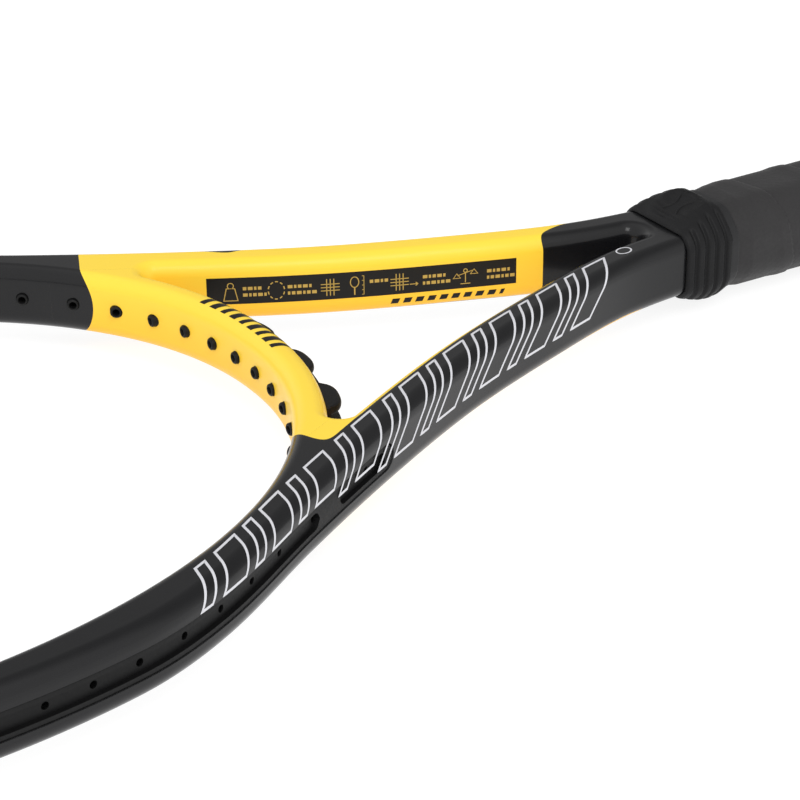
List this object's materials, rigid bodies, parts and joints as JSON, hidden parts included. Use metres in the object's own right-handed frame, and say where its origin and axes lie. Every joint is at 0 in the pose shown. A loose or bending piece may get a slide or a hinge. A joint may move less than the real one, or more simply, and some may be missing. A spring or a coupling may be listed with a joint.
{
  "type": "tennis racket",
  "caption": "Unstrung tennis racket: hollow oval head with string holes, bumper and grommet strips, open throat, wrapped octagonal grip with ribbed collar and flared butt cap.",
  "frame": {"origin": "centre of the butt cap's flat end face, on the handle's axis", "axes": "+Y from the butt to the head's tip; +Z normal to the string plane; X across the head"},
  "size_m": [0.2712, 0.6858, 0.036],
  "materials": {
    "frame_paint": "glossy charcoal lacquer over graphite, yellow inside the throat",
    "bridge_paint": "glossy yellow lacquer",
    "grommet_nylon": "satin black nylon",
    "pallets": "moulded rigid foam",
    "cap_plastic": "satin black",
    "staples": "plain wire",
    "wrap_polyurethane": "matte perforated cushion strip",
    "finishing_tape": "black tape",
    "collar_rubber": "matt black rubber"
  },
  "bodies": {
    "racket": {"frame_hairpin": "frame_paint", "throat_bridge": "bridge_paint", "head_bumper_guard": "grommet_nylon", "side_grommet_strip_right": "grommet_nylon", "side_grommet_strip_left": "grommet_nylon", "bridge_grommet_strip": "grommet_nylon", "pallet_front_half": "pallets", "pallet_back_half": "pallets", "butt_cap": "cap_plastic", "butt_cap_staple_front_right": "staples", "butt_cap_staple_front_left": "staples", "butt_cap_staple_back_right": "staples", "butt_cap_staple_back_left": "staples", "grip_wrap": "wrap_polyurethane", "grip_finishing_tape": "finishing_tape", "grip_collar": "collar_rubber"},
    "door": {"butt_cap_trap_door": "cap_plastic"}
  },
  "joints": [
    {"name": "trap_door_pull", "type": "slide", "parent": "racket", "child": "door", "axis": [0, -1, 0], "range_m": [0, 0.03]}
  ]
}
